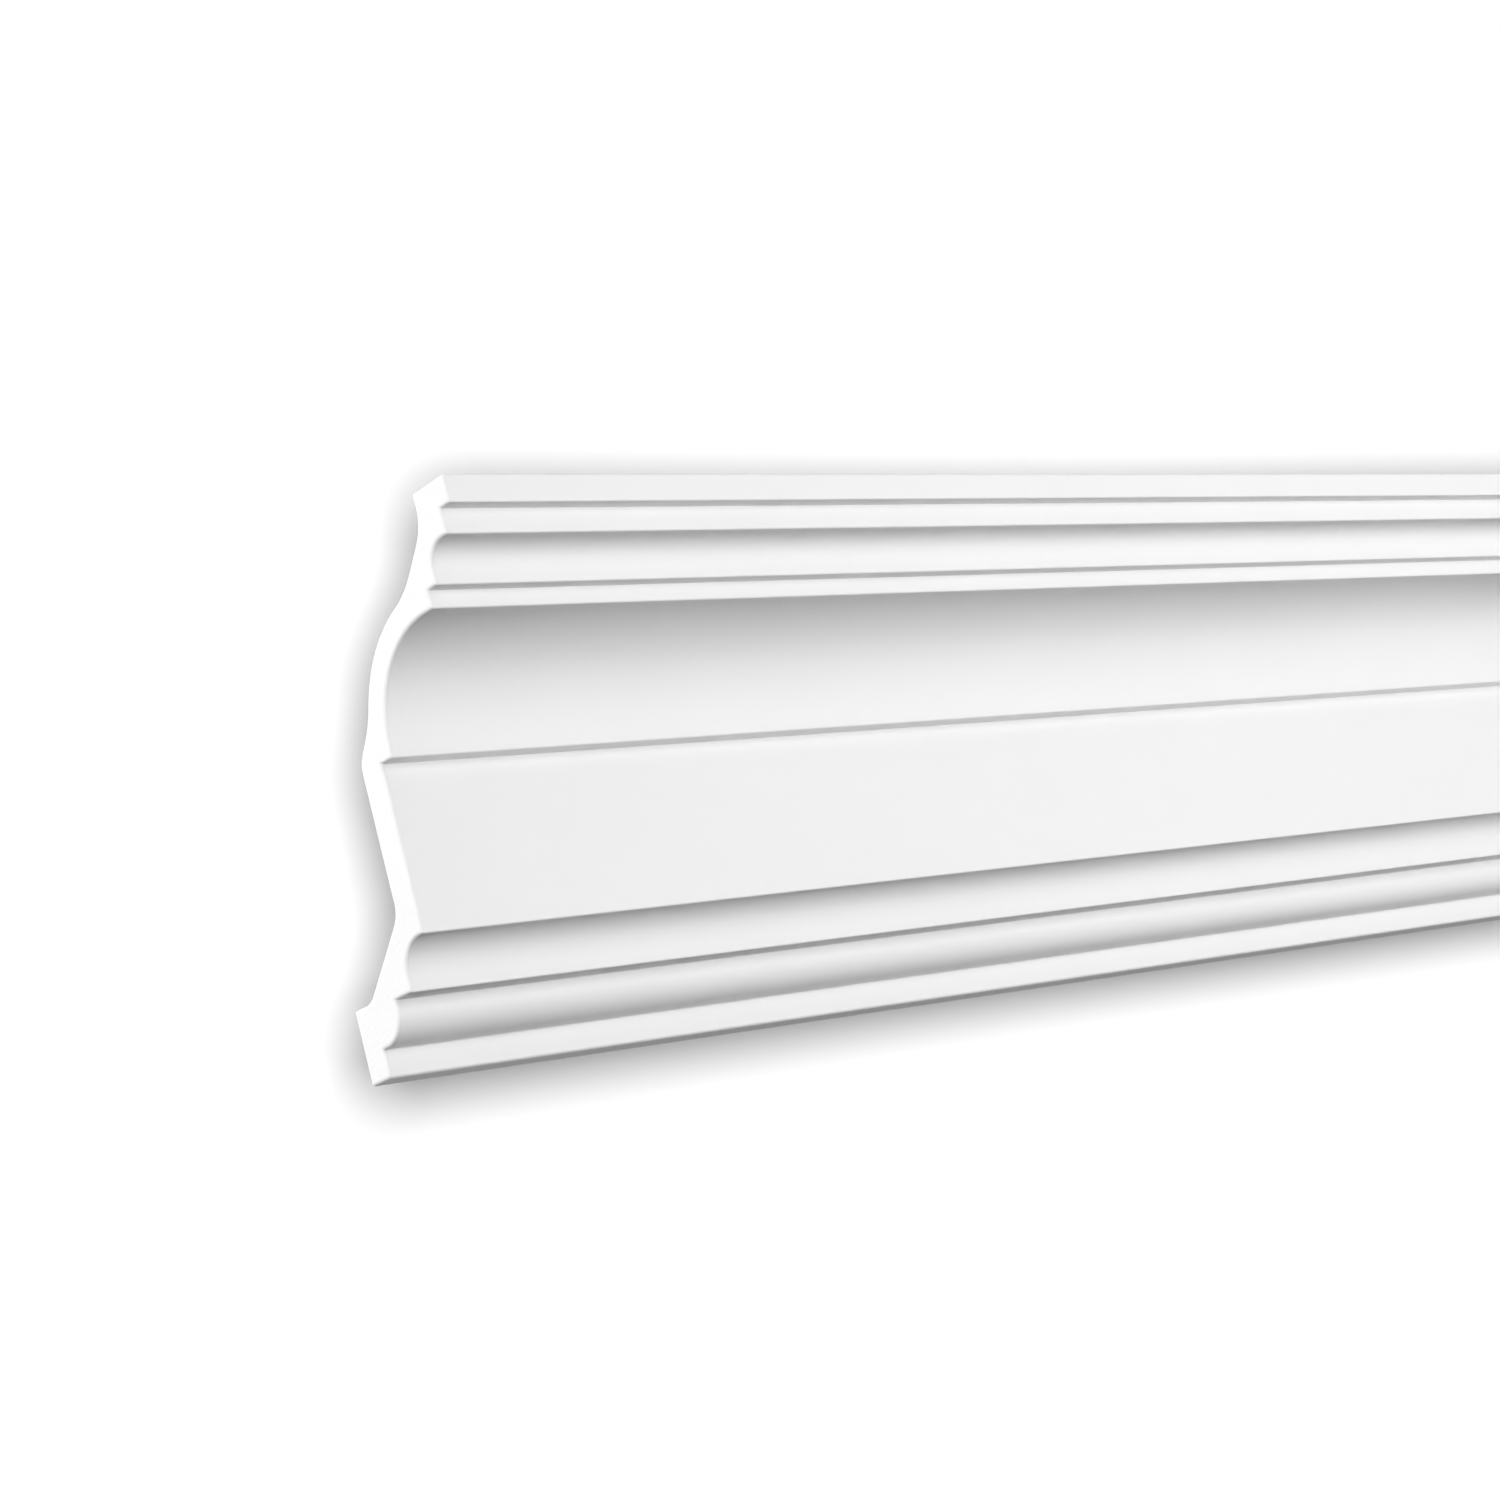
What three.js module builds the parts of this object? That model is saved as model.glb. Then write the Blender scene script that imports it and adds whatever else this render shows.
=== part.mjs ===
// Crown moulding length: a sprung cornice cast in rigid foam, cut square at both ends.
// Millimetres. +X runs along the length, -Y points out from the wall and +Z points up to the ceiling.
// The origin is the middle of the flat face that goes against the wall.
import * as THREE from "three";

// Length of the cut piece
const LENGTH = 650;

// Members of the face, from the foot to the ceiling: each one's height, and its step out past the one below
const FILLET_HEIGHT = 10;
const FILLET_STEP = 11.4;
const OVOLO_HEIGHT = 13.7;
const OVOLO_STEP = 13.5;
const CAVETTO_HEIGHT = 16.4;
const CAVETTO_STEP = 9.3;
const FRIEZE_HEIGHT = 59.2;
const FRIEZE_STEP = 14.1;
const COVE_HEIGHT = 37.9;
const COVE_STEP = 6.7;
const LOW_BAND_HEIGHT = 6.3;
const LOW_BAND_STEP = 40.6;
const SMALL_COVE_HEIGHT = 13.3;
const SMALL_COVE_STEP = 5.1;
const MIDDLE_BAND_HEIGHT = 8.8;
const MIDDLE_BAND_STEP = 11.7;
const TOP_BAND_HEIGHT = 10.2;
const TOP_BAND_STEP = 5.4;

// Round forms of the face
const FILLET_SWEEP_RADIUS = 0.6;
const OVOLO_RADIUS = 10.8;
const CAVETTO_RADIUS = 12.2;
const COVE_RADIUS = 34.9;
const SMALL_COVE_RADIUS = 8.6;
const OUTER_EDGE_RADIUS = 1.2;
const ARRIS_RADIUS = 0.7;

// Walls, foot and ceiling flat of the back
const FRIEZE_WALL = 12;
const COVE_WALL = 10.1;
const CEILING_FLAT = 18.3;
const CEILING_LIP = 11.5;
const FOOT_HEIGHT = 26.6;
const FOOT_LEDGE = 10;
const SHOULDER_RISE = 3.9;

// Slopes of the back in degrees above level, from the foot to the ceiling
const FOOT_SLOPE = 41.5;
const SHOULDER_SLOPE = 48.5;
const COVE_BACK_LOW_SLOPE = 65;
const COVE_BACK_HIGH_SLOPE = 18;
const CEILING_SLOPE = 45;

// Roundings of the back, from the foot to the ceiling
const FOOT_LEDGE_RADIUS = 8.7;
const FOOT_ROOT_RADIUS = 9.6;
const FRIEZE_BACK_RADIUS = 10.5;
const SHOULDER_RADIUS = 33;
const SADDLE_RADIUS = 31;
const CEILING_BACK_RADIUS = 15.7;

// How far a facet may cut inside its arc
const ARC_TOLERANCE = 0.02;

function slopeDirection(degrees) {
  const angle = THREE.MathUtils.degToRad(degrees);
  return new THREE.Vector2(Math.cos(angle), Math.sin(angle));
}

// Where the line through one point at one slope meets the line through another point at another slope
function meet(first, firstSlope, second, secondSlope) {
  const along = slopeDirection(firstSlope);
  const across = slopeDirection(secondSlope);
  const reach = second.clone().sub(first).cross(across) / along.cross(across);
  return first.clone().addScaledVector(along, reach);
}

// The point on the wall's side of a circle where the circle runs at the given slope
function tangentPoint(centre, radius, slope) {
  const along = slopeDirection(slope);
  return centre.clone().addScaledVector(new THREE.Vector2(-along.y, along.x), radius);
}

// A vertex of the section: its distance out from the wall, its height above the foot, and its rounding
function vertex(out, height, radius = 0) {
  return { at: new THREE.Vector2(out, height), radius };
}

// How the outline turns at each vertex: the ways in and out, and the signed angle between them
function turnsOf(vertices) {
  return vertices.map(({ at }, i) => {
    const before = vertices.at(i - 1).at;
    const after = vertices[(i + 1) % vertices.length].at;
    const wayIn = at.clone().sub(before).normalize();
    const wayOut = after.clone().sub(at).normalize();
    const angle = Math.atan2(wayIn.cross(wayOut), wayIn.dot(wayOut));
    return { wayIn, angle, setbackPerRadius: Math.tan(Math.abs(angle) / 2) };
  });
}

// The radii that fit: where two roundings need more than the edge they share, both shrink alike
function fittedRadii(vertices, turns) {
  const setbacks = vertices.map(({ radius }, i) => radius * turns[i].setbackPerRadius);
  const shares = vertices.map(({ at }, i) => {
    const next = (i + 1) % vertices.length;
    const needed = setbacks[i] + setbacks[next];
    return needed > 0 ? Math.min(1, at.distanceTo(vertices[next].at) / needed) : 1;
  });
  return vertices.map(({ radius }, i) => radius * Math.min(shares.at(i - 1), shares[i]));
}

function roundedVertex(at, radius, { wayIn, angle, setbackPerRadius }) {
  const start = at.clone().addScaledVector(wayIn, -radius * setbackPerRadius);
  const inward = new THREE.Vector2(-wayIn.y, wayIn.x).multiplyScalar(Math.sign(angle));
  const centre = start.clone().addScaledVector(inward, radius);
  const facetAngle = 2 * Math.acos(1 - ARC_TOLERANCE / Math.max(radius, ARC_TOLERANCE));
  const facets = Math.ceil(Math.abs(angle) / facetAngle);
  return Array.from({ length: facets + 1 }, (_, i) => start.clone().rotateAround(centre, (angle * i) / facets));
}

function roundedOutline(vertices) {
  const turns = turnsOf(vertices);
  const radii = fittedRadii(vertices, turns);
  return vertices.flatMap(({ at }, i) => (radii[i] > 0 ? roundedVertex(at, radii[i], turns[i]) : [at]));
}

// Members set one on another: each gets the height of its underside and top, and its distance out
function stacked(members) {
  let top = 0;
  let out = 0;
  return Object.fromEntries(Object.entries(members).map(([name, member]) => {
    const bottom = top;
    top += member.height;
    out += member.step;
    return [name, { ...member, bottom, top, out }];
  }));
}

// The face: each member's lower edge is rounded by edge, and the corner under the next member by sweep
const face = stacked({
  fillet: { height: FILLET_HEIGHT, step: FILLET_STEP, edge: OUTER_EDGE_RADIUS, sweep: FILLET_SWEEP_RADIUS },
  ovolo: { height: OVOLO_HEIGHT, step: OVOLO_STEP, edge: OVOLO_RADIUS, sweep: 0 },
  cavetto: { height: CAVETTO_HEIGHT, step: CAVETTO_STEP, edge: ARRIS_RADIUS, sweep: CAVETTO_RADIUS },
  frieze: { height: FRIEZE_HEIGHT, step: FRIEZE_STEP, edge: ARRIS_RADIUS, sweep: 0 },
  cove: { height: COVE_HEIGHT, step: COVE_STEP, edge: ARRIS_RADIUS, sweep: COVE_RADIUS },
  lowBand: { height: LOW_BAND_HEIGHT, step: LOW_BAND_STEP, edge: ARRIS_RADIUS, sweep: 0 },
  smallCove: { height: SMALL_COVE_HEIGHT, step: SMALL_COVE_STEP, edge: ARRIS_RADIUS, sweep: SMALL_COVE_RADIUS },
  middleBand: { height: MIDDLE_BAND_HEIGHT, step: MIDDLE_BAND_STEP, edge: ARRIS_RADIUS, sweep: 0 },
  topBand: { height: TOP_BAND_HEIGHT, step: TOP_BAND_STEP, edge: ARRIS_RADIUS, sweep: OUTER_EDGE_RADIUS },
});

const faceVertices = Object.values(face).flatMap(({ bottom, top, out, edge, sweep }) => [
  vertex(out, bottom, edge),
  vertex(out, top, sweep),
]);

// The back, from the ceiling down to the wall. Behind the big cove it is an arc about the cove's own centre
function backVertices({ frieze, cove, topBand }) {
  const ceilingBack = topBand.out - CEILING_FLAT;
  const lip = new THREE.Vector2(ceilingBack, topBand.top - CEILING_LIP);

  const coveCentre = new THREE.Vector2(cove.out + COVE_RADIUS, cove.top - COVE_RADIUS);
  const coveBackRadius = COVE_RADIUS + COVE_WALL;
  const lowTangent = tangentPoint(coveCentre, coveBackRadius, COVE_BACK_LOW_SLOPE);
  const highTangent = tangentPoint(coveCentre, coveBackRadius, COVE_BACK_HIGH_SLOPE);
  const saddle = meet(lip, CEILING_SLOPE, highTangent, COVE_BACK_HIGH_SLOPE);
  const coveBack = meet(highTangent, COVE_BACK_HIGH_SLOPE, lowTangent, COVE_BACK_LOW_SLOPE);

  const friezeBack = frieze.out - FRIEZE_WALL;
  const friezeBackTop = new THREE.Vector2(friezeBack, frieze.top + SHOULDER_RISE);
  const shoulder = meet(lowTangent, COVE_BACK_LOW_SLOPE, friezeBackTop, SHOULDER_SLOPE);
  const footRise = (friezeBack - FOOT_LEDGE) * Math.tan(THREE.MathUtils.degToRad(FOOT_SLOPE));

  return [
    vertex(ceilingBack, topBand.top, ARRIS_RADIUS),
    vertex(lip.x, lip.y, CEILING_BACK_RADIUS),
    vertex(saddle.x, saddle.y, SADDLE_RADIUS),
    vertex(coveBack.x, coveBack.y, coveBackRadius),
    vertex(shoulder.x, shoulder.y, SHOULDER_RADIUS),
    vertex(friezeBackTop.x, friezeBackTop.y, FRIEZE_BACK_RADIUS),
    vertex(friezeBack, FOOT_HEIGHT + footRise, FOOT_ROOT_RADIUS),
    vertex(FOOT_LEDGE, FOOT_HEIGHT, FOOT_LEDGE_RADIUS),
    vertex(0, FOOT_HEIGHT, ARRIS_RADIUS),
    vertex(0, 0, ARRIS_RADIUS),
  ];
}

// The section's outward and upward axes become -Y and +Z, and its depth runs along -X
const sectionToRoom = new THREE.Matrix4().makeBasis(
  new THREE.Vector3(0, -1, 0),
  new THREE.Vector3(0, 0, 1),
  new THREE.Vector3(-1, 0, 0),
);

const section = new THREE.Shape(roundedOutline([...faceVertices, ...backVertices(face)]));
const mouldingGeometry = new THREE.ExtrudeGeometry(section, { depth: LENGTH, steps: 1, bevelEnabled: false });
mouldingGeometry.translate(0, -FOOT_HEIGHT / 2, -LENGTH / 2);

const primedFoam = new THREE.MeshStandardMaterial({ color: 0xf0f0ee, roughness: 0.55, metalness: 0 });

const moulding = new THREE.Mesh(mouldingGeometry, primedFoam);
moulding.name = "crown_moulding";
moulding.setRotationFromMatrix(sectionToRoom);

const crownMouldingLength = new THREE.Group();
crownMouldingLength.add(moulding);

export default crownMouldingLength;
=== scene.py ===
"""A length of crown moulding in primed rigid foam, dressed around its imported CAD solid.

Metres. +X runs along the length, -Y points out from the wall and +Z points up to the ceiling. The casting
is a finer copy of the CAD solid: its saw cuts are eased, its skin isn't dead flat, and the face, the back
and the sawn ends each have a finish of their own.
"""

import logging
import math
from dataclasses import dataclass, field
from enum import Enum, IntEnum
from functools import cached_property

import bmesh
import bpy
from mathutils import Matrix, Quaternion, Vector, noise


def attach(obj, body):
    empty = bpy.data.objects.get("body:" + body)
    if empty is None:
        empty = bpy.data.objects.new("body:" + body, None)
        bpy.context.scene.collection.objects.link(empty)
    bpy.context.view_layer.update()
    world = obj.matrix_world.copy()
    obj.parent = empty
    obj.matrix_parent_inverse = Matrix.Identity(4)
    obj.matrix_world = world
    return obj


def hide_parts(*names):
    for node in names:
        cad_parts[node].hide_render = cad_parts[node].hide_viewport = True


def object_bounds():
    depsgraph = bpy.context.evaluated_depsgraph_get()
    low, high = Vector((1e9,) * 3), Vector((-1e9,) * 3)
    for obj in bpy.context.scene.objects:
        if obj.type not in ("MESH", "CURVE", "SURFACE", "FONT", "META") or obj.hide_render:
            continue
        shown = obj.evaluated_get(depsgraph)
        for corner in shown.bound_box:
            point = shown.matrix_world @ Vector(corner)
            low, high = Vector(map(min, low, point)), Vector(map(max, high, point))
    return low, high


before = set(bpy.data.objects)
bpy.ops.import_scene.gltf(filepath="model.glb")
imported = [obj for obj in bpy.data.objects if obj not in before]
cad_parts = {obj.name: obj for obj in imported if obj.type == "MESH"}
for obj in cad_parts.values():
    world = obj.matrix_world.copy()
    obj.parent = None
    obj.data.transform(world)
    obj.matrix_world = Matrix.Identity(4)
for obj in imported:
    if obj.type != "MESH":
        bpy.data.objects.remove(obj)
CAD_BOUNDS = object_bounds()

ROOT_BODY = "root"
WHITE = (1.0, 1.0, 1.0)
# A lamp's light on a flat sheet falls off with this power of the distance
FLAT_FALLOFF = 3.0
# Bands that the wave texture draws in one unit at a scale of 1
WAVES_PER_UNIT = 20.0 / (2.0 * math.pi)
# Nearly every value of a noise texture lies between these
NOISE_LOW = 0.3
NOISE_HIGH = 0.7
# A direction whose share along an axis passes this runs along that axis
NEARLY_PARALLEL = 0.9
# A normal whose share along the length passes this belongs to a cut end
END_LEAN = 0.1
# A normal whose share outwards or down passes this belongs to the moulded face
FACE_LEAN = 0.3

Colour = tuple[float, float, float]
SocketValue = float | tuple[float, ...] | bpy.types.NodeSocket

log = logging.getLogger("moulding")


class NodeSheet:
    """A shader node tree that is filled one node at a time."""

    def __init__(self, tree: bpy.types.NodeTree) -> None:
        """Starts on an empty tree.

        Args:
            tree: The node tree of a material, a world or a group.
        """
        self.tree = tree
        self.tree.nodes.clear()

    def add(
        self, kind: str, inputs: dict[str, SocketValue] | None = None, **settings: object
    ) -> bpy.types.Node:
        """Adds one node, sets its own settings and fills its inputs.

        Args:
            kind: The node's type without the leading ShaderNode.
            inputs: A number, a tuple or another node's output for each input, by its identifier or its name.
            settings: Values of the node's own properties.

        Returns:
            The new node.
        """
        node = self.tree.nodes.new(f"ShaderNode{kind}")
        for name, value in settings.items():
            setattr(node, name, value)
        for name, value in (inputs or {}).items():
            self.fill(socket_of(node.inputs, name), value)
        return node

    def fill(self, socket: bpy.types.NodeSocket, value: SocketValue) -> None:
        """Links an output to the socket, or sets the socket's own value.

        Args:
            socket: The input to fill.
            value: Another node's output, a number or a tuple.
        """
        if isinstance(value, bpy.types.NodeSocket):
            self.tree.links.new(value, socket)
        elif socket.type == "RGBA" and len(value) == 3:
            socket.default_value = (*value, 1.0)
        else:
            socket.default_value = value


def socket_of(sockets: bpy.types.bpy_prop_collection, name: str) -> bpy.types.NodeSocket:
    """Finds a socket by its identifier, or else by its name.

    Args:
        sockets: A node's inputs or outputs.
        name: The identifier, such as B_Color, or the name.

    Returns:
        The first socket that fits.
    """
    by_identifier = [s for s in sockets if s.identifier == name]
    return by_identifier[0] if by_identifier else sockets[name]


class GroupSheet(NodeSheet):
    """A node group with named inputs and outputs."""

    def __init__(self, name: str, inputs: dict[str, str], outputs: dict[str, str]) -> None:
        """Makes the group and its sockets.

        Args:
            name: The group's name.
            inputs: Each input's name and its kind: Float, Color or Vector.
            outputs: Each output's name and its kind.
        """
        tree = bpy.data.node_groups.new(name, "ShaderNodeTree")
        super().__init__(tree)
        for socket, kind in inputs.items():
            tree.interface.new_socket(socket, in_out="INPUT", socket_type=f"NodeSocket{kind}")
        for socket, kind in outputs.items():
            tree.interface.new_socket(socket, in_out="OUTPUT", socket_type=f"NodeSocket{kind}")
        self.given = tree.nodes.new("NodeGroupInput").outputs
        self.made = tree.nodes.new("NodeGroupOutput").inputs


class FoamEffects:
    """The shader node groups that more than one finish uses, each made once."""

    @cached_property
    def tone_drift(self) -> bpy.types.NodeTree:
        """A colour that darkens and lightens a little from place to place."""
        sheet = GroupSheet(
            "tone_drift",
            {"Vector": "Vector", "Colour": "Color", "Patches Per Metre": "Float", "Drift": "Float"},
            {"Colour": "Color"},
        )
        patches = sheet.add(
            "TexNoise",
            {"Vector": sheet.given["Vector"], "Scale": sheet.given["Patches Per Metre"], "Detail": 3.0},
        )
        darkest = sheet.add("Math", {"Value": 1.0, "Value_001": sheet.given["Drift"]}, operation="SUBTRACT")
        shade = sheet.add(
            "MapRange",
            {
                "Value": patches.outputs["Fac"],
                "From Min": NOISE_LOW,
                "From Max": NOISE_HIGH,
                "To Min": darkest.outputs[0],
            },
        )
        toned = sheet.add(
            "VectorMath", {"Vector": sheet.given["Colour"], "Scale": shade.outputs[0]}, operation="SCALE"
        )
        sheet.fill(sheet.made["Colour"], toned.outputs["Vector"])
        return sheet.tree

    @cached_property
    def stipple(self) -> bpy.types.NodeTree:
        """Soft bumps, as sprayed primer or a cast skin has. The relief is a height in metres."""
        sheet = GroupSheet(
            "stipple",
            {"Vector": "Vector", "Bumps Per Metre": "Float", "Relief": "Float"},
            {"Height": "Float", "Mask": "Float"},
        )
        bumps = sheet.add(
            "TexNoise",
            {
                "Vector": sheet.given["Vector"],
                "Scale": sheet.given["Bumps Per Metre"],
                "Detail": 2.0,
                "Roughness": 0.55,
            },
        )
        height = sheet.add(
            "Math", {"Value": bumps.outputs["Fac"], "Value_001": sheet.given["Relief"]}, operation="MULTIPLY"
        )
        sheet.fill(sheet.made["Height"], height.outputs[0])
        sheet.fill(sheet.made["Mask"], bumps.outputs["Fac"])
        return sheet.tree

    @cached_property
    def foam_cells(self) -> bpy.types.NodeTree:
        """Fine round pores between raised cell walls. The depth is in metres."""
        sheet = GroupSheet(
            "foam_cells",
            {"Vector": "Vector", "Cells Per Metre": "Float", "Depth": "Float", "Pore Share": "Float"},
            {"Height": "Float", "Pores": "Float"},
        )
        cells = sheet.add(
            "TexVoronoi",
            {"Vector": sheet.given["Vector"], "Scale": sheet.given["Cells Per Metre"]},
            feature="F1",
        )
        pores = sheet.add(
            "MapRange",
            {
                "Value": cells.outputs["Distance"],
                "From Min": 0.0,
                "From Max": sheet.given["Pore Share"],
                "To Min": 1.0,
                "To Max": 0.0,
            },
            interpolation_type="SMOOTHSTEP",
        )
        sunk = sheet.add(
            "Math", {"Value": pores.outputs[0], "Value_001": sheet.given["Depth"]}, operation="MULTIPLY"
        )
        height = sheet.add("Math", {"Value": 0.0, "Value_001": sunk.outputs[0]}, operation="SUBTRACT")
        sheet.fill(sheet.made["Height"], height.outputs[0])
        sheet.fill(sheet.made["Pores"], pores.outputs[0])
        return sheet.tree


def group_node(sheet: NodeSheet, group: bpy.types.NodeTree, inputs: dict[str, SocketValue]) -> bpy.types.Node:
    """Places a node group in a sheet.

    Args:
        sheet: The sheet that it goes into.
        group: The node group.
        inputs: Its inputs, by name.

    Returns:
        The group's node.
    """
    node = sheet.add("Group", node_tree=group)
    for name, value in inputs.items():
        sheet.fill(node.inputs[name], value)
    return node


def new_material(name: str) -> tuple[bpy.types.Material, NodeSheet]:
    """Makes an empty material.

    Args:
        name: The material's name.

    Returns:
        The material, and the sheet that fills its node tree.
    """
    material = bpy.data.materials.new(name)
    material.use_nodes = True
    return material, NodeSheet(material.node_tree)


def finish_surface(
    sheet: NodeSheet,
    colour: SocketValue,
    roughness: SocketValue,
    height: bpy.types.NodeSocket,
) -> None:
    """Ends a finish with the surface shader.

    Args:
        sheet: The material's sheet.
        colour: The base colour.
        roughness: The roughness.
        height: The relief, in metres.
    """
    relief = sheet.add("Bump", {"Height": height, "Strength": 1.0, "Distance": 1.0})
    surface = sheet.add(
        "BsdfPrincipled",
        {"Base Color": colour, "Roughness": roughness, "Normal": relief.outputs["Normal"]},
    )
    sheet.add("OutputMaterial", {"Surface": surface.outputs["BSDF"]})


@dataclass(frozen=True)
class PrimedSkin:
    """Matt white primer sprayed over the moulded face: a very fine stipple on an all but even white.

    Attributes:
        name: The material's name.
        colour: The primer's colour.
        drift: How much darker the darkest patches are.
        patches_per_metre: Patches of tone in a metre.
        roughness: The lowest and the highest roughness.
        spray_per_metre: Spray bumps in a metre.
        spray_relief: Height of the spray bumps.
        flow_per_metre: Broad soft waves in a metre.
        flow_relief: Height of the broad waves.
    """

    name: str = "primed_skin"
    colour: Colour = (0.9, 0.9, 0.9)
    drift: float = 0.012
    patches_per_metre: float = 18.0
    roughness: tuple[float, float] = (0.52, 0.62)
    spray_per_metre: float = 900.0
    spray_relief: float = 0.000007
    flow_per_metre: float = 45.0
    flow_relief: float = 0.00002

    def material(self, effects: FoamEffects) -> bpy.types.Material:
        """Makes the material.

        Args:
            effects: The shared node groups.

        Returns:
            The finished material.
        """
        material, sheet = new_material(self.name)
        place = sheet.add("TexCoord").outputs["Object"]
        tone = group_node(
            sheet,
            effects.tone_drift,
            {
                "Vector": place,
                "Colour": self.colour,
                "Patches Per Metre": self.patches_per_metre,
                "Drift": self.drift,
            },
        )
        spray = group_node(
            sheet,
            effects.stipple,
            {"Vector": place, "Bumps Per Metre": self.spray_per_metre, "Relief": self.spray_relief},
        )
        flow = group_node(
            sheet,
            effects.stipple,
            {"Vector": place, "Bumps Per Metre": self.flow_per_metre, "Relief": self.flow_relief},
        )
        height = sheet.add("Math", {"Value": spray.outputs["Height"], "Value_001": flow.outputs["Height"]})
        roughness = sheet.add(
            "MapRange",
            {"Value": flow.outputs["Mask"], "To Min": self.roughness[0], "To Max": self.roughness[1]},
        )
        finish_surface(sheet, tone.outputs["Colour"], roughness.outputs[0], height.outputs[0])
        return material


@dataclass(frozen=True)
class CastBack:
    """The bare cast skin of the back: a shade creamier than the primer, uneven, with sparse shallow pits.

    Attributes:
        name: The material's name.
        colour: The bare skin's colour.
        drift: How much darker the darkest patches are.
        patches_per_metre: Patches of tone in a metre.
        roughness: The lowest and the highest roughness.
        grain_per_metre: Bumps in a metre.
        grain_relief: Height of the bumps.
        pits_per_metre: Cells in a metre, each with one pit.
        pit_share: How much of its cell a pit takes.
        pit_depth: Depth of the pits.
    """

    name: str = "cast_back"
    colour: Colour = (0.84, 0.835, 0.81)
    drift: float = 0.05
    patches_per_metre: float = 30.0
    roughness: tuple[float, float] = (0.55, 0.78)
    grain_per_metre: float = 320.0
    grain_relief: float = 0.00006
    pits_per_metre: float = 110.0
    pit_share: float = 0.09
    pit_depth: float = 0.0004

    def material(self, effects: FoamEffects) -> bpy.types.Material:
        """Makes the material.

        Args:
            effects: The shared node groups.

        Returns:
            The finished material.
        """
        material, sheet = new_material(self.name)
        place = sheet.add("TexCoord").outputs["Object"]
        tone = group_node(
            sheet,
            effects.tone_drift,
            {
                "Vector": place,
                "Colour": self.colour,
                "Patches Per Metre": self.patches_per_metre,
                "Drift": self.drift,
            },
        )
        grain = group_node(
            sheet,
            effects.stipple,
            {"Vector": place, "Bumps Per Metre": self.grain_per_metre, "Relief": self.grain_relief},
        )
        pits = group_node(
            sheet,
            effects.foam_cells,
            {
                "Vector": place,
                "Cells Per Metre": self.pits_per_metre,
                "Depth": self.pit_depth,
                "Pore Share": self.pit_share,
            },
        )
        height = sheet.add("Math", {"Value": grain.outputs["Height"], "Value_001": pits.outputs["Height"]})
        roughness = sheet.add(
            "MapRange",
            {"Value": grain.outputs["Mask"], "To Min": self.roughness[0], "To Max": self.roughness[1]},
        )
        finish_surface(sheet, tone.outputs["Colour"], roughness.outputs[0], height.outputs[0])
        return material


@dataclass(frozen=True)
class SawnFoam:
    """Foam laid open by the saw: fine cells with painted shade in the pores, crossed by the blade's faint
    lines.

    Attributes:
        name: The material's name.
        colour: The foam's colour between the pores.
        painted_pore_shade: How much darker the pores are painted, as shade in the open cells.
        roughness: The roughness.
        cells_per_metre: Cells in a metre.
        cell_depth: Depth of the open cells.
        pore_share: How much of its cell a pore takes.
        line_spacing: Distance from one saw line to the next.
        line_depth: Depth of the saw lines.
        line_tilt: Angle of the saw lines to level, in degrees.
        line_waver: How far the saw lines stray from straight.
    """

    name: str = "sawn_core"
    colour: Colour = (0.9, 0.9, 0.9)
    painted_pore_shade: float = 0.07
    roughness: float = 0.75
    cells_per_metre: float = 2200.0
    cell_depth: float = 0.00008
    pore_share: float = 0.55
    line_spacing: float = 0.0022
    line_depth: float = 0.00003
    line_tilt: float = 24.0
    line_waver: float = 2.5

    def saw_lines(self, sheet: NodeSheet, place: bpy.types.NodeSocket) -> bpy.types.NodeSocket:
        """Makes the blade's lines.

        Args:
            sheet: The material's sheet.
            place: The coordinates.

        Returns:
            The lines' height, in metres.
        """
        turned = sheet.add(
            "Mapping", {"Vector": place, "Rotation": (math.radians(self.line_tilt), 0.0, 0.0)}
        )
        bands = sheet.add(
            "TexWave",
            {
                "Vector": turned.outputs[0],
                "Scale": 1.0 / (self.line_spacing * WAVES_PER_UNIT),
                "Distortion": self.line_waver,
                "Detail": 2.0,
            },
            bands_direction="Z",
        )
        height = sheet.add(
            "Math", {"Value": bands.outputs["Fac"], "Value_001": self.line_depth}, operation="MULTIPLY"
        )
        return height.outputs[0]

    def material(self, effects: FoamEffects) -> bpy.types.Material:
        """Makes the material.

        Args:
            effects: The shared node groups.

        Returns:
            The finished material.
        """
        material, sheet = new_material(self.name)
        place = sheet.add("TexCoord").outputs["Object"]
        cells = group_node(
            sheet,
            effects.foam_cells,
            {
                "Vector": place,
                "Cells Per Metre": self.cells_per_metre,
                "Depth": self.cell_depth,
                "Pore Share": self.pore_share,
            },
        )
        # The pores are painted darker: painted shade in the open cells.
        shade = sheet.add(
            "MapRange",
            {"Value": cells.outputs["Pores"], "To Min": 1.0, "To Max": 1.0 - self.painted_pore_shade},
        )
        colour = sheet.add(
            "VectorMath", {"Vector": self.colour, "Scale": shade.outputs[0]}, operation="SCALE"
        )
        lines = self.saw_lines(sheet, place)
        height = sheet.add("Math", {"Value": cells.outputs["Height"], "Value_001": lines})
        finish_surface(sheet, colour.outputs["Vector"], self.roughness, height.outputs[0])
        return material


class Zone(IntEnum):
    """The casting's surfaces, numbered as its material slots are."""

    FACE = 0
    BACK = 1
    CUT_SKIN = 2
    CUT_CORE = 3


def default_finishes() -> dict[Zone, PrimedSkin | CastBack | SawnFoam]:
    """The finish of each zone."""
    return {
        Zone.FACE: PrimedSkin(),
        Zone.BACK: CastBack(),
        Zone.CUT_SKIN: SawnFoam(
            name="sawn_skin", painted_pore_shade=0.02, cells_per_metre=5000.0, cell_depth=0.00002, line_depth=0.00001
        ),
        Zone.CUT_CORE: SawnFoam(),
    }


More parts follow.
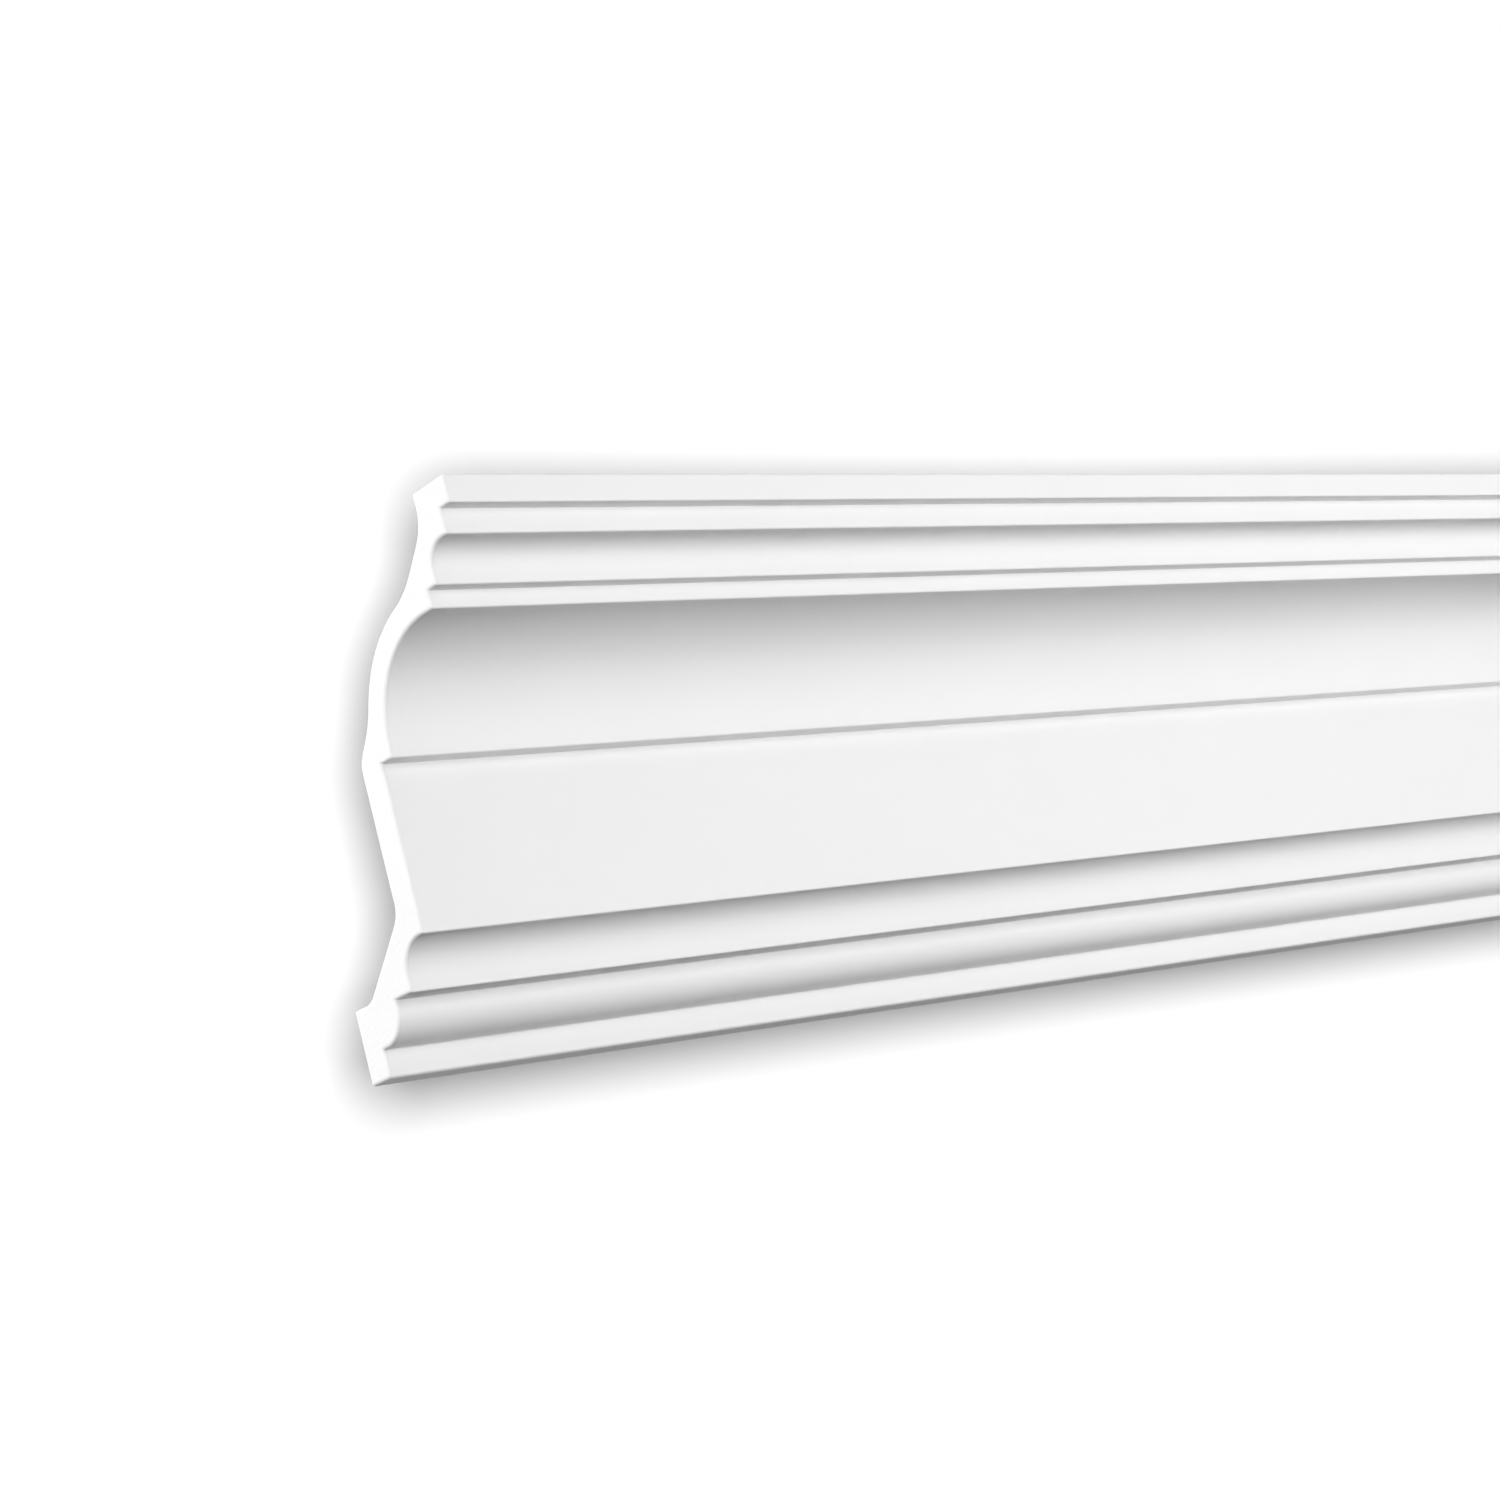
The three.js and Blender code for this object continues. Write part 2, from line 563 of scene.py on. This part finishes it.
@dataclass
class MouldingCasting:
    """The casting, made from a merged copy of its CAD solid.

    Attributes:
        node: The CAD node that it stands for.
        name: The piece's name.
        slot: The record's material slot; not used.
        finishes: The finish of each zone.
        strip_length: Greatest length of a strip along the moulding.
        strip_height: Greatest height of a strip across a flat.
        cut_radius: Radius to which the sawn edges are eased.
        cut_facets: Facets in that rounding.
        skin_thickness: Thickness of the dense skin that shows in the cut ends.
        face_wander: How far the face's skin dips from true.
        back_wander: How far the back's skin dips from true.
        wander_length: Length of those dips.
        merge_distance: Points nearer than this are one point.
        convergence: Points of a cut end's outline nearer than this after an inset are one point.
        flat_tolerance: Faces within this angle of each other are one flat.
        crease_angle: Edges that turn by more than this stay crisp.
        flat_weight: How strongly the larger faces lead the shading, where 50 is even.
    """

    node: str = "crown_moulding"
    name: str = "moulding_casting"
    slot: str = "primed_foam"
    finishes: dict[Zone, PrimedSkin | CastBack | SawnFoam] = field(default_factory=default_finishes)
    strip_length: float = 0.0125
    strip_height: float = 0.012
    cut_radius: float = 0.0014
    cut_facets: int = 5
    skin_thickness: float = 0.0005
    face_wander: float = 0.00005
    back_wander: float = 0.00018
    wander_length: float = 0.09
    merge_distance: float = 0.000001
    convergence: float = 0.00018
    flat_tolerance: float = math.radians(0.5)
    crease_angle: float = math.radians(31)
    flat_weight: int = 90

    def build(self, effects: FoamEffects) -> bpy.types.Object:
        """Models the casting, dresses it and lets it stand for its CAD node.

        Args:
            effects: The shared node groups.

        Returns:
            The casting.
        """
        solid = bmesh.new()
        solid.from_mesh(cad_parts[self.node].data)
        bmesh.ops.remove_doubles(solid, verts=solid.verts, dist=self.merge_distance)
        bmesh.ops.dissolve_limit(solid, angle_limit=self.flat_tolerance, verts=solid.verts, edges=solid.edges)
        self.divide(solid)
        for side in (-1, 1):
            self.ease_end(solid, side)
        self.set_zones(solid)
        self.let_skin_wander(solid)
        self.crease(solid)
        mesh = bpy.data.meshes.new(self.name)
        solid.to_mesh(mesh)
        solid.free()
        casting = bpy.data.objects.new(self.name, mesh)
        bpy.context.scene.collection.objects.link(casting)
        for zone in Zone:
            mesh.materials.append(self.finishes[zone].material(effects))
        self.let_flats_lead(casting)
        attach(casting, ROOT_BODY)
        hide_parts(self.node)
        return casting

    def divide(self, solid: bmesh.types.BMesh) -> None:
        """Divides the long faces into strips, first across the flats and then along the length."""
        across = [e for e in solid.edges if not self.runs_along(e) and e.calc_length() > self.strip_height]
        cuts_of = {e: math.ceil(e.calc_length() / self.strip_height) - 1 for e in across}
        for cuts in sorted(set(cuts_of.values())):
            edges = [e for e in across if cuts_of[e] == cuts]
            bmesh.ops.subdivide_edges(solid, edges=edges, cuts=cuts, use_grid_fill=True)
        along = [e for e in solid.edges if self.runs_along(e)]
        strips = math.ceil(along[0].calc_length() / self.strip_length)
        bmesh.ops.subdivide_edges(solid, edges=along, cuts=strips - 1, use_grid_fill=True)

    @staticmethod
    def runs_along(edge: bmesh.types.BMEdge) -> bool:
        """Whether an edge runs along the moulding."""
        run = edge.verts[1].co - edge.verts[0].co
        return abs(run.x) > NEARLY_PARALLEL * run.length

    @staticmethod
    def end_face(solid: bmesh.types.BMesh, side: int) -> bmesh.types.BMFace:
        """The one large face of a cut end, on the side of -X or +X."""
        faces = [f for f in solid.faces if f.normal.x * side > NEARLY_PARALLEL]
        return max(faces, key=lambda f: f.calc_area())

    def inset_end(self, solid: bmesh.types.BMesh, side: int, thickness: float, depth: float) -> None:
        """Insets a cut end, and joins the points of small arcs that have met at their centre.

        Args:
            solid: The casting's mesh.
            side: -1 or 1, for the end at -X or +X.
            thickness: How far the outline moves in.
            depth: How far the inner face moves out along X.
        """
        face = self.end_face(solid, side)
        bmesh.ops.inset_region(solid, faces=[face], thickness=thickness, depth=depth, use_even_offset=True)
        outline = self.end_face(solid, side).verts[:]
        bmesh.ops.remove_doubles(solid, verts=outline, dist=self.convergence)

    def ease_end(self, solid: bmesh.types.BMesh, side: int) -> None:
        """Rounds the edges of a cut end, and draws the edge of the dense skin inside them.

        Args:
            solid: The casting's mesh.
            side: -1 or 1, for the end at -X or +X.
        """
        radius = self.cut_radius
        pieces = [f for f in solid.faces if f.normal.x * side > NEARLY_PARALLEL]
        face = bmesh.ops.dissolve_faces(solid, faces=pieces)["region"][0]
        bmesh.ops.translate(solid, verts=face.verts, vec=(-side * radius, 0.0, 0.0))
        angles = [math.pi / 2 * i / self.cut_facets for i in range(self.cut_facets + 1)]
        for before, after in zip(angles, angles[1:]):
            inward = radius * (math.cos(before) - math.cos(after))
            outward = radius * (math.sin(after) - math.sin(before))
            self.inset_end(solid, side, inward, outward)
        self.inset_end(solid, side, self.skin_thickness, 0.0)

    def set_zones(self, solid: bmesh.types.BMesh) -> None:
        """Gives every face the zone that it belongs to."""
        cores = [self.end_face(solid, side) for side in (-1, 1)]
        for f in solid.faces:
            f.smooth = True
            if f in cores:
                f.material_index = Zone.CUT_CORE
            elif abs(f.normal.x) > END_LEAN:
                f.material_index = Zone.CUT_SKIN
            elif min(f.normal.y, f.normal.z) < -FACE_LEAN:
                f.material_index = Zone.FACE
            else:
                f.material_index = Zone.BACK

    def let_skin_wander(self, solid: bmesh.types.BMesh) -> None:
        """Lets the cast skin dip inwards in long shallow waves, but keeps mounting faces and ends true."""
        low, high = CAD_BOUNDS
        for v in solid.verts:
            from_end = min(v.co.x - low.x, high.x - v.co.x) - self.cut_radius
            is_mount = v.co.y > high.y - self.merge_distance or v.co.z > high.z - self.merge_distance
            if is_mount or from_end <= 0:
                continue
            is_back = all(f.material_index == Zone.BACK for f in v.link_faces)
            reach = self.back_wander if is_back else self.face_wander
            fade = min(1.0, from_end / self.wander_length)
            dip = 0.5 + 0.5 * noise.noise(v.co / self.wander_length)
            v.co -= v.normal * reach * fade * dip

    def crease(self, solid: bmesh.types.BMesh) -> None:
        """Keeps the true corners crisp."""
        for e in solid.edges:
            e.smooth = e.calc_face_angle(0.0) < self.crease_angle

    def let_flats_lead(self, casting: bpy.types.Object) -> None:
        """Shades flats flat and lets the roundings between them carry the turn."""
        normals = casting.modifiers.new("flats_lead", "WEIGHTED_NORMAL")
        normals.mode = "FACE_AREA"
        normals.weight = self.flat_weight
        normals.keep_sharp = True


@dataclass(frozen=True)
class PhotoCamera:
    """The camera, where the photograph's perspective puts it.

    Attributes:
        eye: The camera's place.
        aim: The point of the frieze in the middle of the picture.
        roll: How far the camera is turned clockwise about its own line of sight, in degrees.
        lens_mm: The focal length for the sensor below.
        sensor_mm: The sensor's width and height.
        nearest: Nearest distance that the camera sees.
        farthest: Farthest distance that it sees.
    """

    eye: Vector = field(default_factory=lambda: Vector((-0.9747, -0.9295, -0.1718)))
    aim: Vector = field(default_factory=lambda: Vector((-0.16085, -0.0483, 0.0816)))
    roll: float = 15.0
    lens_mm: float = 80.2
    sensor_mm: float = 36.0
    nearest: float = 0.05
    farthest: float = 60.0

    def mount(self) -> bpy.types.Object:
        """Puts the camera in the scene.

        Returns:
            The camera.
        """
        data = bpy.data.cameras.new("photo_camera")
        data.lens = self.lens_mm
        data.sensor_width = self.sensor_mm
        data.clip_start = self.nearest
        data.clip_end = self.farthest
        camera = bpy.data.objects.new("photo_camera", data)
        bpy.context.scene.collection.objects.link(camera)
        level = (self.aim - self.eye).to_track_quat("-Z", "Y")
        camera.rotation_mode = "QUATERNION"
        camera.rotation_quaternion = level @ Quaternion((0.0, 0.0, 1.0), math.radians(-self.roll))
        camera.location = self.eye
        bpy.context.scene.camera = camera
        return camera


@dataclass(frozen=True)
class SoftLight:
    """A square soft box that faces the moulding.

    Attributes:
        name: The light's name.
        azimuth: Degrees round the moulding: 0 is straight in front, 90 off the right end.
        elevation: Degrees above level.
        watts: The power.
        distance: Distance from the middle of the moulding.
        side: The square's side.
    """

    name: str
    azimuth: float
    elevation: float
    watts: float
    distance: float = 2.0
    side: float = 1.0

    def hang(self, middle: Vector) -> bpy.types.Object:
        """Hangs the light in its place.

        Args:
            middle: The point that it faces.

        Returns:
            The light.
        """
        data = bpy.data.lights.new(self.name, "AREA")
        data.shape = "SQUARE"
        data.size = self.side
        data.energy = self.watts
        azimuth = math.radians(self.azimuth)
        elevation = math.radians(self.elevation)
        away = Vector(
            (
                math.sin(azimuth) * math.cos(elevation),
                -math.cos(azimuth) * math.cos(elevation),
                math.sin(elevation),
            )
        )
        light = bpy.data.objects.new(self.name, data)
        light.location = middle + away * self.distance
        light.rotation_mode = "QUATERNION"
        light.rotation_quaternion = away.to_track_quat("Z", "Y")
        light.visible_camera = False
        bpy.context.scene.collection.objects.link(light)
        return light


@dataclass(frozen=True)
class LensLamp:
    """A round lamp just above the lens, which leaves a narrow soft shadow round the moulding on the backdrop.

    Attributes:
        watts: The power.
        radius: The lamp's radius.
        lift: How far the lamp is above the lens, as the picture stands.
    """

    watts: float = 293.0
    radius: float = 0.085
    lift: float = 0.021

    def mount(self, camera: bpy.types.Object) -> bpy.types.Object:
        """Mounts the lamp over the lens.

        Args:
            camera: The camera.

        Returns:
            The lamp.
        """
        data = bpy.data.lights.new("lens_lamp", "POINT")
        data.energy = self.watts
        data.shadow_soft_size = self.radius
        lamp = bpy.data.objects.new("lens_lamp", data)
        lamp.location = camera.location + camera.rotation_quaternion @ Vector((0.0, self.lift, 0.0))
        lamp.visible_camera = False
        bpy.context.scene.collection.objects.link(lamp)
        return lamp


class LinkState(Enum):
    """How a light treats the objects of its receiver collection."""

    ONLY = "INCLUDE"
    NEVER = "EXCLUDE"


def stage_plane(name: str, width: float, height: float, place: Matrix) -> bpy.types.Object:
    """Makes a flat plane for the stage.

    Args:
        name: The plane's name.
        width: Its width.
        height: Its height.
        place: Turns and moves the plane, which starts level at the origin with its front up.

    Returns:
        The plane.
    """
    flat = bmesh.new()
    bmesh.ops.create_grid(flat, x_segments=1, y_segments=1, size=0.5)
    bmesh.ops.scale(flat, verts=flat.verts, vec=(width, height, 1.0))
    bmesh.ops.transform(flat, verts=flat.verts, matrix=place)
    mesh = bpy.data.meshes.new(name)
    flat.to_mesh(mesh)
    flat.free()
    plane = bpy.data.objects.new(name, mesh)
    bpy.context.scene.collection.objects.link(plane)
    return plane


@dataclass(frozen=True)
class Backdrop:
    """A white sheet that leans over the moulding from behind, seen only from in front, and lights nothing.

    Attributes:
        gap: Distance from the wall face to the sheet, at the height of the origin.
        lean: How far the sheet leans forward over the moulding, in degrees.
        width: The sheet's width.
        bottom: Place of its lower edge, measured up the sheet.
        top: Place of its upper edge, measured up the sheet.
        white_reach: Distance from the lamp at which the sheet's paint is full white.
    """

    gap: float = 0.24
    lean: float = 32.0
    width: float = 4.0
    bottom: float = -1.3
    top: float = 2.0
    white_reach: float = 2.0

    def stand(self, lamp: bpy.types.Object) -> bpy.types.Object:
        """Stands the sheet up, leans it and paints it.

        Args:
            lamp: The lamp that lights it.

        Returns:
            The backdrop.
        """
        leaning = Matrix.Rotation(math.radians(90 + self.lean), 4, "X")
        middle = Matrix.Translation((0.0, (self.bottom + self.top) / 2, 0.0))
        place = Matrix.Translation((0.0, self.gap, 0.0)) @ leaning @ middle
        backdrop = stage_plane("backdrop", self.width, self.top - self.bottom, place)
        backdrop.visible_shadow = False
        backdrop.visible_diffuse = False
        backdrop.visible_glossy = False
        backdrop.visible_transmission = False
        backdrop.data.materials.append(self.material(lamp))
        return backdrop

    def material(self, lamp: bpy.types.Object) -> bpy.types.Material:
        """Makes the sheet's paint, which is greyer near the lamp so that the sheet looks evenly lit.

        Args:
            lamp: The lamp that lights it.

        Returns:
            The material.
        """
        material, sheet = new_material("backdrop")
        place = sheet.add("TexCoord").outputs["Object"]
        reach = sheet.add(
            "VectorMath", {"Vector": place, "Vector_001": lamp.location}, operation="DISTANCE"
        )
        share = sheet.add(
            "Math", {"Value": reach.outputs["Value"], "Value_001": self.white_reach}, operation="DIVIDE"
        )
        falloff = sheet.add("Math", {"Value": share.outputs[0], "Value_001": FLAT_FALLOFF}, operation="POWER")
        paint = sheet.add("BsdfDiffuse", {"Color": falloff.outputs[0]})
        clear = sheet.add("BsdfTransparent")
        from_behind = sheet.add("NewGeometry").outputs["Backfacing"]
        seen = sheet.add(
            "MixShader", {"Fac": from_behind, "Shader": paint.outputs[0], "Shader_001": clear.outputs[0]}
        )
        sheet.add("OutputMaterial", {"Surface": seen.outputs[0]})
        return material


@dataclass
class Studio:
    """A pale floor, a white backdrop behind the moulding, soft lights and an even sky.

    Attributes:
        backdrop: The backdrop.
        lamp: The lamp that lights only the backdrop.
        lights: The soft boxes, which light everything else.
        middle: The point that the lights face.
        floor_drop: How far the floor lies below the origin.
        floor_side: The floor's side.
        floor_colour: The floor's paint.
        floor_glow: Light that the floor gives off, so that it stays pale where the soft boxes don't reach.
        sky_strength: Strength of the sky's light.
    """

    backdrop: Backdrop = field(default_factory=Backdrop)
    lamp: LensLamp = field(default_factory=LensLamp)
    lights: tuple[SoftLight, ...] = (
        SoftLight("front_high", 8.0, 10.0, 17.2),
        SoftLight("front_low", 8.0, -10.0, 20.2),
        SoftLight("front_top", 25.0, 55.0, 4.6),
        SoftLight("right_low", 65.0, -30.0, 6.4),
        SoftLight("left_end", -100.0, 10.0, 38.0),
        SoftLight("right_end", 105.0, 15.0, 20.0),
        SoftLight("top", 180.0, 80.0, 10.0),
        SoftLight("behind", 155.0, 25.0, 9.0),
        SoftLight("behind_low", 180.0, -35.0, 6.0, distance=1.5, side=0.6),
    )
    middle: Vector = field(default_factory=lambda: Vector((-0.05, -0.06, 0.07)))
    floor_drop: float = 1.3
    floor_side: float = 14.0
    floor_colour: Colour = (0.88, 0.88, 0.88)
    floor_glow: float = 0.62
    sky_strength: float = 0.025

    def build(self, camera: bpy.types.Object) -> None:
        """Lays the floor, stands the backdrop and sets every light.

        Args:
            camera: The camera that carries the backdrop's lamp.
        """
        self.floor()
        self.sky()
        lamp = self.lamp.mount(camera)
        backdrop = self.backdrop.stand(lamp)
        lamp.light_linking.receiver_collection = self.receivers(backdrop, LinkState.ONLY)
        log.info("lamp %s: %.1f W", lamp.name, self.lamp.watts)
        others = self.receivers(backdrop, LinkState.NEVER)
        for soft_box in self.lights:
            light = soft_box.hang(self.middle)
            light.light_linking.receiver_collection = others
            log.info("light %s: %.1f W", light.name, soft_box.watts)
        bpy.context.scene.view_settings.view_transform = "Standard"

    @staticmethod
    def receivers(target: bpy.types.Object, state: LinkState) -> bpy.types.Collection:
        """Makes the collection that ties lights to one object or keeps them off it.

        Args:
            target: The object.
            state: Whether the lights fall only on the object, or never.

        Returns:
            The receiver collection.
        """
        chosen = bpy.data.collections.new(f"{target.name}_{state.name.lower()}")
        chosen.objects.link(target)
        chosen.collection_objects[0].light_linking.link_state = state.value
        return chosen

    def floor(self) -> None:
        """Lays the pale floor, which takes light and shade but sends none back."""
        place = Matrix.Translation((0.0, 0.0, -self.floor_drop))
        floor = stage_plane("floor", self.floor_side, self.floor_side, place)
        floor.visible_diffuse = False
        floor.visible_glossy = False
        material, sheet = new_material("floor")
        paint = sheet.add("BsdfDiffuse", {"Color": self.floor_colour})
        glow = sheet.add("Emission", {"Color": WHITE, "Strength": self.floor_glow})
        both = sheet.add("AddShader", {"Shader": paint.outputs[0], "Shader_001": glow.outputs[0]})
        sheet.add("OutputMaterial", {"Surface": both.outputs[0]})
        floor.data.materials.append(material)

    def sky(self) -> None:
        """Makes the sky: white to the camera, and a faint even light on everything."""
        world = bpy.data.worlds.new("sky")
        world.use_nodes = True
        bpy.context.scene.world = world
        sheet = NodeSheet(world.node_tree)
        seen = sheet.add("LightPath").outputs["Is Camera Ray"]
        strength = sheet.add("MapRange", {"Value": seen, "To Min": self.sky_strength, "To Max": 1.0})
        background = sheet.add("Background", {"Color": WHITE, "Strength": strength.outputs[0]})
        sheet.add("OutputWorld", {"Surface": background.outputs[0]})


def main() -> None:
    """Builds the camera, the casting and the studio."""
    logging.basicConfig(level=logging.INFO, format="%(message)s")
    camera = PhotoCamera().mount()
    log.info("camera %s: %.1f mm", camera.name, camera.data.lens)
    casting = MouldingCasting().build(FoamEffects())
    log.info("casting %s: %d faces", casting.name, len(casting.data.polygons))
    Studio().build(camera)


if __name__ == "__main__":
    main()
